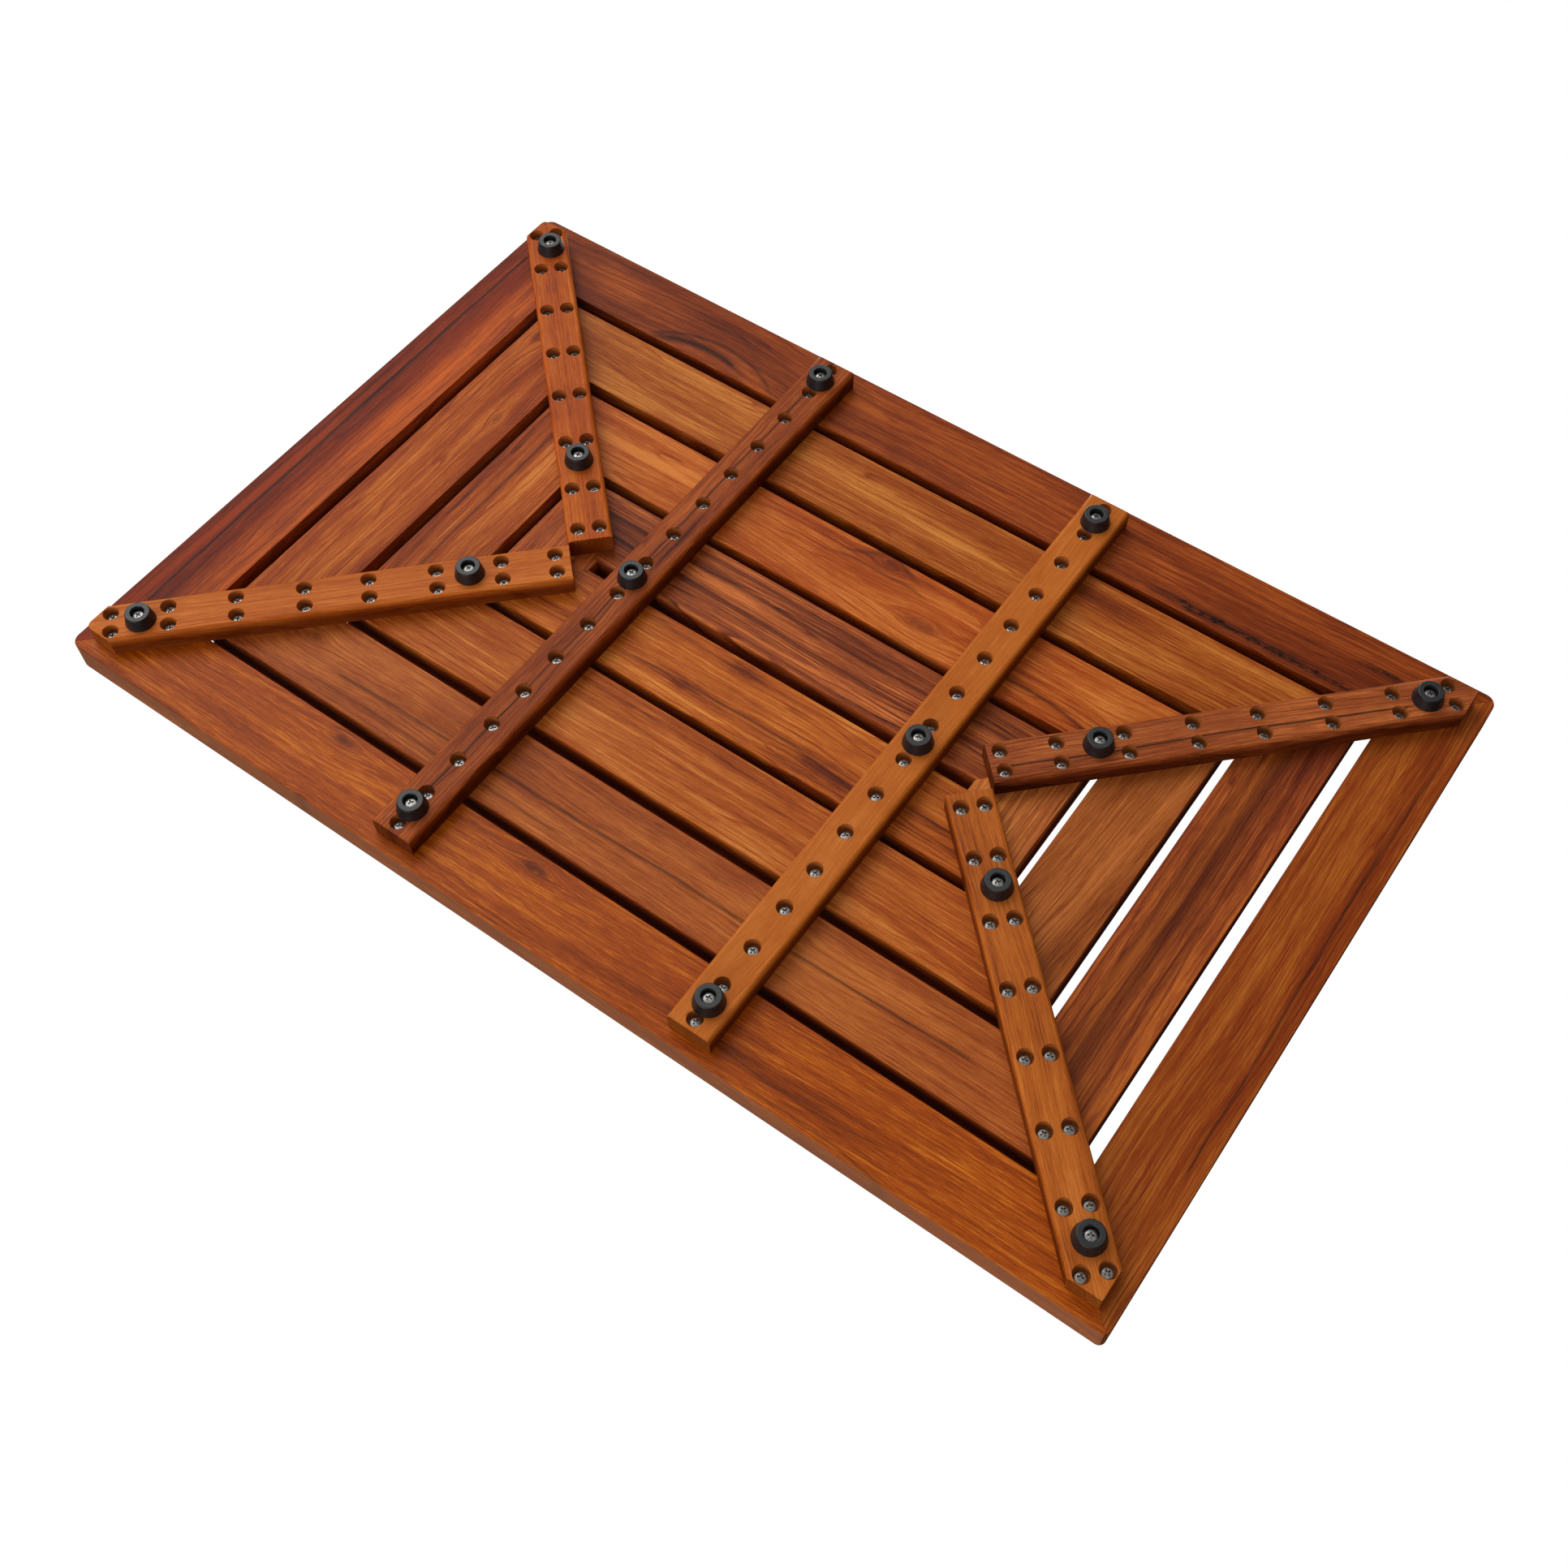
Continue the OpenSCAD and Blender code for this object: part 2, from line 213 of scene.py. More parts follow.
def arc(centre, radius, start, end, steps):
    """Points of an arc in the (radius, height) plane, angles in degrees."""
    points = []
    for i in range(steps + 1):
        a = math.radians(start + (end - start) * i / steps)
        points.append((centre[0] + radius * math.cos(a), centre[1] + radius * math.sin(a)))
    return points


def stamped(source, places):
    """One bmesh with a copy of the source bmesh under each matrix."""
    bm = bmesh.new()
    stamp = bpy.data.meshes.new("stamp")
    source.to_mesh(stamp)
    for matrix in places:
        before = len(bm.verts)
        bm.from_mesh(stamp)
        bm.verts.ensure_lookup_table()
        for v in bm.verts[before:]:
            v.co = matrix @ v.co
    bpy.data.meshes.remove(stamp)
    return bm


def moved_to(places):
    """A matrix for each place in plan."""
    return [Matrix.Translation((p.x, p.y, 0)) for p in places]


def drilled(piece, cutter):
    """Cuts the holes of a cutter bmesh out of the piece."""
    tool = new_object("cutter", cutter)
    cut = piece.modifiers.new("holes", "BOOLEAN")
    cut.operation = "DIFFERENCE"
    cut.solver = "EXACT"
    cut.object = tool
    applied(piece)
    bpy.data.objects.remove(tool)


def shaded(piece, sharp_degrees=38):
    """Smooth shading that keeps the crisp edges, with the flat faces leading the normals."""
    bm = bmesh.new()
    bm.from_mesh(piece.data)
    bmesh.ops.remove_doubles(bm, verts=bm.verts, dist=SAME_POINT)
    bmesh.ops.dissolve_degenerate(bm, edges=bm.edges, dist=NO_EDGE)
    for face in bm.faces:
        face.smooth = True
    for edge in bm.edges:
        if len(edge.link_faces) == 2:
            edge.smooth = edge.calc_face_angle(0) < math.radians(sharp_degrees)
    bm.to_mesh(piece.data)
    bm.free()
    weigh = piece.modifiers.new("normals", "WEIGHTED_NORMAL")
    weigh.keep_sharp = True
    weigh.weight = 50


FACE_KINDS = ("endgrain", "drilled", "gapwall", "rim")

# A face this near the mat's outside belongs to its rim, and one this near a bore's wall to the bore.
RIM_REACH = 1 * MM
HOLE_REACH = 0.1 * MM

# A face starts to be end grain where its normal has this share along the grain, and is fully so one range
# further. Gap walls look sideways by at least their share, and rim faces up or down by no more than theirs.
END_FROM = 0.35
END_RANGE = 0.45
GAP_SIDEWAYS = 0.9
RIM_UPWARD = 0.4


def give_grain(piece, to_grain, along, holes=()):
    """Stores each point's place in the piece's grain frame, and what each face is.

    A face is cut across the grain, the wall or floor of a drilled hole, a side that faces a gap, or the outer
    rim of the mat.
    """
    mesh = piece.data
    for name in FACE_KINDS:
        mesh.attributes.new(name, "FLOAT", "FACE")
    mesh.attributes.new("grain", "FLOAT_VECTOR", "POINT")
    kinds = {name: mesh.attributes[name].data for name in FACE_KINDS}
    grain = mesh.attributes["grain"].data
    for i, v in enumerate(mesh.vertices):
        grain[i].vector = to_grain(v.co)
    sideways = along.cross(Vector((0, 0, 1)))
    for i, face in enumerate(mesh.polygons):
        reach = min(((face.center.xy - p).length for p in holes), default=half_length)
        in_hole = reach < BORE_RADIUS + HOLE_REACH
        at_rim = abs(face.center.x) > half_length - RIM_REACH or abs(face.center.y) > half_width - RIM_REACH
        cut_across = (abs(face.normal.dot(along)) - END_FROM) / END_RANGE
        kinds["endgrain"][i].value = 0.0 if in_hole else min(1.0, max(0.0, cut_across))
        kinds["drilled"][i].value = 1.0 if in_hole else 0.0
        kinds["gapwall"][i].value = 0.0 if at_rim or abs(face.normal.dot(sideways)) < GAP_SIDEWAYS else 1.0
        kinds["rim"][i].value = 1.0 if at_rim and abs(face.normal.z) < RIM_UPWARD else 0.0


def stands_for(piece, node):
    """The piece rides on the mat and is shown in the place of its CAD node."""
    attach(piece, "root")
    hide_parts(node)
    return piece


# ---- where the screws are ------------------------------------------------------------------------

# Points this near the group's top are its screws' tips, and two screws are further apart than this.
TIP_REACH = 0.05 * MM
SCREW_SPACING = 3 * MM


def screw_places(node):
    """Plan positions of the screws in a CAD group: each screw has one tip at the group's top."""
    points = [v.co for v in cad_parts[node].data.vertices]
    top = max(p.z for p in points)
    found = []
    for p in points:
        if p.z > top - TIP_REACH and all((p.xy - q).length > SCREW_SPACING for q in found):
            found.append(p.xy.copy())
    return found


SCREW_GROUPS = {
    "screws_cross_left": "cross_batten_left",
    "screws_cross_right": "cross_batten_right",
    "screws_front_right": "corner_batten_front_right",
    "screws_back_right": "corner_batten_back_right",
    "screws_back_left": "corner_batten_back_left",
    "screws_front_left": "corner_batten_front_left",
}
batten_screws = {group: screw_places(group) for group in SCREW_GROUPS}
foot_metal = ("foot_washers", "foot_screws")
foot_nodes = sorted(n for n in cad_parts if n.startswith("foot_") and n not in foot_metal)
foot_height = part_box(foot_nodes[0])[1].z
slat_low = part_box("outer_slat_front")[0].z


def middle(node):
    """The middle of a node's box."""
    low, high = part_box(node)
    return (low + high) / 2


# ---- formulas in nodes ---------------------------------------------------------------------------


class Value:
    """A number in a node tree, so that a formula reads as one."""

    def __init__(self, tree, socket):
        self.tree, self.socket = tree, socket

    def op(self, name, *others):
        node = self.tree.nodes.new("ShaderNodeMath")
        node.operation = name
        for i, other in enumerate((self, *others)):
            if isinstance(other, Value):
                self.tree.links.new(other.socket, node.inputs[i])
            else:
                node.inputs[i].default_value = other
        return Value(self.tree, node.outputs[0])

    def __add__(self, other):
        return self.op("ADD", other)

    def __sub__(self, other):
        return self.op("SUBTRACT", other)

    def __mul__(self, other):
        return self.op("MULTIPLY", other)

    def __truediv__(self, other):
        return self.op("DIVIDE", other)

    def root(self):
        return self.op("SQRT")

    def power_of_e(self):
        return self.op("EXPONENT")

    def flipped(self):
        """1 where this is 0, and 0 where it is 1."""
        return self * -1 + 1

    def held(self, low, high):
        return self.op("MAXIMUM", low).op("MINIMUM", high)

    def bell(self):
        """1 at zero, falling away smoothly on both sides."""
        return (self * self * -1).power_of_e()

    def step(self, low, high):
        """0 below low, 1 above high, smooth between."""
        node = self.tree.nodes.new("ShaderNodeMapRange")
        node.interpolation_type = "SMOOTHSTEP"
        self.tree.links.new(self.socket, node.inputs["Value"])
        node.inputs["From Min"].default_value = low
        node.inputs["From Max"].default_value = high
        return Value(self.tree, node.outputs["Result"])

    def between(self, start, end, fade):
        """1 from start to end, fading in and out over each of them."""
        return self.step(start - fade, start + fade) - self.step(end - fade, end + fade)


def noise(x, y, z, detail=2.0, rough=0.5):
    """Noise about 0 at a point given by three Values."""
    tree = x.tree
    join = tree.nodes.new("ShaderNodeCombineXYZ")
    for value, socket in zip((x, y, z), join.inputs):
        tree.links.new(value.socket, socket)
    node = tree.nodes.new("ShaderNodeTexNoise")
    node.inputs["Scale"].default_value = 1.0
    node.inputs["Detail"].default_value = detail
    node.inputs["Roughness"].default_value = rough
    tree.links.new(join.outputs[0], node.inputs["Vector"])
    return Value(tree, node.outputs["Fac"]) - 0.5


def split_up(tree, vector):
    """The three parts of a vector socket."""
    split = tree.nodes.new("ShaderNodeSeparateXYZ")
    tree.links.new(vector, split.inputs[0])
    return [Value(tree, s) for s in split.outputs]


def attribute(tree, name, output="Fac"):
    """The output socket of a mesh attribute."""
    node = tree.nodes.new("ShaderNodeAttribute")
    node.attribute_name = name
    return node.outputs[output]


def object_place(tree):
    """Where a point is in its object, in millimetres."""
    where = tree.nodes.new("ShaderNodeTexCoord")
    return [v * (1 / MM) for v in split_up(tree, where.outputs["Object"])]


def linear(hexcode):
    """Linear RGBA of an sRGB hex colour."""
    parts = [int(hexcode[i : i + 2], 16) / 255 for i in (0, 2, 4)]
    return [*(c / 12.92 if c <= 0.04045 else ((c + 0.055) / 1.055) ** 2.4 for c in parts), 1.0]


def tinted(hexcode, tint):
    """Linear RGBA of an sRGB hex colour, each channel times its share of the tint."""
    return [*(c * t for c, t in zip(linear(hexcode), tint)), 1.0]


def ramp(value, places, colours):
    """Colours in linear RGBA, at their places along a Value from 0 to 1."""
    node = value.tree.nodes.new("ShaderNodeValToRGB")
    stretch = node.color_ramp
    while len(stretch.elements) < len(places):
        stretch.elements.new(0.5)
    for element, place, colour in zip(stretch.elements, places, colours):
        element.position = place
        element.color = colour
    value.tree.links.new(value.socket, node.inputs[0])
    return node.outputs["Color"]


def blend(colour, share, hexcode, how="MIX"):
    """The colour socket with a hex colour over it by share."""
    tree = share.tree
    node = tree.nodes.new("ShaderNodeMix")
    node.data_type = "RGBA"
    node.blend_type = how
    tree.links.new(share.socket, node.inputs["Factor"])
    tree.links.new(colour, node.inputs["A"])
    node.inputs["B"].default_value = linear(hexcode)
    return node.outputs["Result"]


def new_material(name):
    """A material with its node tree and its shader."""
    material = bpy.data.materials.new(name)
    material.use_nodes = True
    return material, material.node_tree, material.node_tree.nodes["Principled BSDF"]


def give_bump(shader, height, strength, distance):
    """Roughens the shader's surface by a height Value."""
    tree = height.tree
    bump = tree.nodes.new("ShaderNodeBump")
    bump.inputs["Strength"].default_value = strength
    bump.inputs["Distance"].default_value = distance
    tree.links.new(height.socket, bump.inputs["Height"])
    tree.links.new(bump.outputs[0], shader.inputs["Normal"])


# ---- wood ----------------------------------------------------------------------------------------

# How often each noise in the wood varies per millimetre, along the grain, across it and in depth. Then its
# detail and roughness, and the way in which a board's seed shifts it.
NOISES = {
    "wander": (0.006, 0.012, 0.012, 1.0, 0.5, "across"),
    "waver": (0.03, 0.07, 0.05, 2.0, 0.5, "across"),
    "slow": (0.004, 0.05, 0.01, 2.0, 0.5, "across"),
    "band": (0.008, 0.24, 0.02, 3.0, 0.6, "across"),
    "fibre": (0.01, 0.85, 0.05, 4.0, 0.8, "along"),
    "fine": (0.03, 3.0, 0.8, 3.0, 0.8, "along"),
    "dash": (0.07, 1.4, 0.8, 3.0, 0.75, "along"),
    "fleck": (0.05, 1.9, 0.8, 3.0, 0.7, "along"),
    "cloud": (0.03, 0.03, 0.02, 3.0, 0.6, "across"),
    "pore": (0.12, 3.6, 3.6, 2.0, 0.6, "along"),
    "ragged": (0.09, 0.14, 0.1, 4.0, 0.75, "along"),
    "broken": (0.2, 0.3, 1.0, 3.0, 0.5, "across"),
}
SEED_STEP = 13.7
TONE_PLACES = (0.0, 0.33, 0.57, 1.0)

# Dark lines and mineral marks fade out over this length at their ends, in millimetres.
LINE_FADE = 12
MINERAL_FADE = 20

LINE_BROWN = "200e08"
MINERAL_BLACK = "120906"
HEART_BROWN = "4a1e0c"
# Raw wood in the drilled holes, made paler still with painted light that stands in for light reaching into
# the bores.
RAW_WOOD_AND_PAINTED_LIGHT = "b87038"
PORE_BROWN = "38160a"
PORE_SHARE = 0.36
END_SHADE = "5a3018"
END_SHARE = 0.55
# Painted shade: the gap walls between the slats darken towards their middle depth, where shade falls.
GAP_PAINTED_SHADE = "704838"
GAP_PAINTED_SHADE_SHARE = 0.8
# Painted sheen: the outer rim faces are paled as if catching a grazing reflection.
RIM_PAINTED_SHEEN = "c89474"
RIM_PAINTED_SHEEN_SHARE = 0.38


def wood_noise(kind, x, across, z, seed):
    """A noise of the wood at a point of a board, shifted by the board's seed."""
    per_x, per_across, per_z, detail, rough, shifted = NOISES[kind]
    x, across = x * per_x, across * per_across
    if shifted == "along":
        x = x + seed
    else:
        across = across + seed
    return noise(x, across, z * per_z, detail, rough)


def part_round_knots(flow, x, knots):
    """The fibres' flow round the knots, and the nearness of the knots' hearts."""
    hearts = None
    for along, across, radius, stretch in knots:
        dx = (x - along) * (1 / stretch)
        dy = flow - across
        near = dx * dx + dy * dy
        flow = flow - dy * (radius * radius) / (near + 0.85 * radius * radius)
        heart = (near * (-4 / (radius * radius))).power_of_e()
        hearts = heart if hearts is None else hearts + heart
    return flow, hearts


def board_grain(tree, look):
    """Where a point lies in its board, in millimetres, and the noises there."""
    x, y, z = split_up(tree, attribute(tree, "grain", "Vector"))
    seed = look["seed"] * SEED_STEP

    def layer(kind, across):
        return wood_noise(kind, x, across, z, seed)

    # The fibres wander, and part round the knots.
    flow = y + layer("wander", y) * look["wander"] + layer("waver", y) * look["waver"] + x * look["slope"]
    flow, hearts = part_round_knots(flow, x, look["knots"])

    # Growth rings of a trunk whose heart runs beside or under the board.
    pith_across, pith_depth, taper = look["pith"]
    side = flow - pith_across
    under = z + x * taper - pith_depth
    ring = (side * side + under * under).root()

    return SimpleNamespace(
        x=x,
        y=y,
        z=z,
        flow=flow,
        ring=ring,
        hearts=hearts,
        seed=seed,
        layer=layer,
        slow=layer("slow", ring),
        band=layer("band", ring),
        fibre=layer("fibre", ring),
        fine=layer("fine", ring),
        dash=layer("dash", flow),
        fleck=layer("fleck", flow).step(0.04, 0.2),
        cloud=layer("cloud", y),
        pore=layer("pore", y).step(0.08, 0.26),
    )


def growth_lines(g, spacing):
    """The dark late wood of each growth ring: it builds up slowly, ends sharply, and comes and goes."""
    saw = (g.ring * (1 / spacing) + g.slow * 9 + g.seed).op("FRACT")
    line = saw.step(0.62, 0.92) * saw.step(0.92, 1.0).flipped()
    return line * (g.band * 3 + g.cloud * 3 + 0.55).held(0.0, 1.4)


def board_tone(g, look):
    """How pale the wood is: 0 at the darkest of the board's colours, 1 at the palest."""
    growth = growth_lines(g, look["spacing"])
    tone = g.slow * look["slow"]
    for kind in ("band", "fibre", "fine", "dash", "fleck", "cloud"):
        tone = tone + getattr(g, kind) * look[kind]
    tone = tone + growth * look["growth"] + look["tone"]
    for along, across, half_long, half_wide, amount in look["patches"]:
        dx = (g.x + g.cloud * 40 - along) * (1 / half_long)
        dy = (g.flow + g.band * 8 - across) * (1 / half_wide)
        tone = tone + ((dx * dx + dy * dy) * -1).power_of_e() * amount
    return tone


def draw_lines(colour, g, lines):
    """Thin dark lines along the grain, straight or bulging sideways."""
    for across, slope, width, share, start, end, *bulge in lines:
        reach = (g.x - (start + end) / 2) * (2 / (end - start))
        arch = (reach * reach).flipped() * (bulge[0] if bulge else 0.0)
        off = (g.flow - across - g.x * slope - arch + g.fibre * 1.6) * (1 / width)
        there = (g.x + g.cloud * 60).between(start, end, LINE_FADE) * off.bell()
        there = there * (share * 1.2) * (g.fibre * 1.5 + 0.85)
        colour = blend(colour, there.held(0.0, 0.9), LINE_BROWN)
    return colour


def draw_minerals(colour, g, minerals):
    """Ragged, broken black marks along the grain."""
    for across, thick, start, end in minerals:
        off = (g.y - across + g.layer("ragged", g.y) * (thick * 5)) * (1 / thick)
        there = g.x.between(start, end, MINERAL_FADE) * off.bell() * (g.layer("broken", g.y) * 2.6 + 0.75)
        colour = blend(colour, there.held(0.0, 0.95), MINERAL_BLACK)
    return colour


def draw_figure(colour, g, look):
    """The board's broad zones and bands, its lines and mineral marks, and the hearts of its knots."""
    for edge, soft, shade, share in look["zones"]:
        reach = (g.flow + g.band * 8).step(edge - soft, edge + soft) * share
        colour = blend(colour, reach, shade, "MULTIPLY")
    for across, width, shade, share in look["bands"]:
        there = ((g.flow + g.band * 10 - across) * (1 / width)).bell() * share
        colour = blend(colour, there, shade, "MULTIPLY")
    colour = draw_lines(colour, g, look["lines"])
    colour = draw_minerals(colour, g, look["minerals"])
    if g.hearts is not None:
        colour = blend(colour, (g.hearts * look["heart"]).op("MINIMUM", 0.9), HEART_BROWN)
    return colour


def draw_faces(colour, g, tree, end):
    """Darker end grain, painted shade deep in the gap walls, a painted sheen on the outer rim, and the
    drilled holes' wood paler as raw wood and lightened with painted light.
    """
    colour = blend(colour, end * END_SHARE, END_SHADE, "MULTIPLY")
    # Painted shade in the gaps between slats, darkest at middle depth.
    deep_painted_shade = g.z.step(-8, 1) * g.z.step(5, 11).flipped() * GAP_PAINTED_SHADE_SHARE
    colour = blend(colour, Value(tree, attribute(tree, "gapwall")) * deep_painted_shade, GAP_PAINTED_SHADE, "MULTIPLY")
    # Painted sheen on the mat's outer rim faces.
    colour = blend(colour, Value(tree, attribute(tree, "rim")) * RIM_PAINTED_SHEEN_SHARE, RIM_PAINTED_SHEEN)
    # Painted light: the bore walls and floors are lightened as raw wood, brighter than their shade would
    # leave them.
    raw_and_painted_light = Value(tree, attribute(tree, "drilled")) * (g.dash * 0.6 + g.fine * 0.4 + 0.75)
    return blend(colour, raw_and_painted_light.op("MINIMUM", 1.0), RAW_WOOD_AND_PAINTED_LIGHT)


def wood(name, look):
    """Oiled teak cut from one board."""
    look = {**PLAIN_BOARD, **look}
    material, tree, shader = new_material(name)
    g = board_grain(tree, look)
    end = Value(tree, attribute(tree, "endgrain"))
    colour = ramp(board_tone(g, look), TONE_PLACES, [tinted(c, look["tint"]) for c in look["colours"]])
    colour = draw_figure(colour, g, look)
    colour = blend(colour, g.pore * PORE_SHARE, PORE_BROWN)
    colour = draw_faces(colour, g, tree, end)
    tree.links.new(colour, shader.inputs["Base Color"])
    rough = g.fibre * 0.2 + g.fine * 0.15 + g.pore * 0.15 + end * 0.2 + look["rough"]
    tree.links.new(rough.socket, shader.inputs["Roughness"])
    shader.inputs["Specular IOR Level"].default_value = 0.1
    height = g.fine * 0.5 + g.fibre * 0.35 + g.dash * 0.3 - g.pore * 0.8
    give_bump(shader, height, 0.5, 0.12 * MM)
    return material


# What a board has where its own look doesn't say otherwise. Lengths are in millimetres, in its grain frame.
# A look also has seed, which picks the part of the noises, and colours, the tones from the darkest.
# tint: share of red, green and blue. tone: 0 dark to 1 pale. rough: roughness of the surface.
# slow to growth: weights of the noises and of the growth lines in the tone. spacing: from ring to ring.
# wander, waver: how far the fibres stray, in long and in short waves. slope: their drift across per length.
# pith: where the trunk's heart runs, across and in depth, and its lean.
# knots: along, across, radius, stretch. heart: darkness of the knots' hearts.
# patches: along, across, half length, half width, change of tone.
# zones: edge, softness, colour, share. bands: across, width, colour, share.
# lines: across, slope, width, share, start, end, and a bulge if any. minerals: across, thickness, start, end.
PLAIN_BOARD = dict(
    tint=(1, 1, 1), tone=0.58, rough=0.44, heart=0.5,
    slow=1.0, band=1.0, fibre=0.9, fine=1.05, dash=0.75, fleck=0.2, cloud=0.45, growth=-0.35,
    spacing=3.6, wander=9.0, waver=1.3, slope=0.0,
    knots=(), patches=(), zones=(), bands=(), lines=(), minerals=(),
)

# Tone stops of the boards, darkest first.
BROWN = ("34140a", "6c2e0e", "823c14", "b06026")
FLAME = ("5a260a", "883e0e", "a04c14", "d08030")
PLUM = ("36140c", "6c3018", "84401c", "b86020")
AMBER = ("4c1c06", "78300a", "883e10", "ac6428")
TAN = ("602608", "8e4414", "a4581e", "d08c46")
ROSE = ("4c1e0e", "823e1a", "9c5426", "c47a3e")
WINE = ("3c1008", "682a12", "7e3a1a", "b06226")
ORANGE = ("5a2008", "944412", "a8561c", "d08640")
UMBER = ("4c1e0c", "804016", "945222", "b86e38")
RUSSET = ("3e160a", "74381a", "8a4824", "be723c")
HONEY = ("642a08", "a05414", "b2661e", "cc8638")

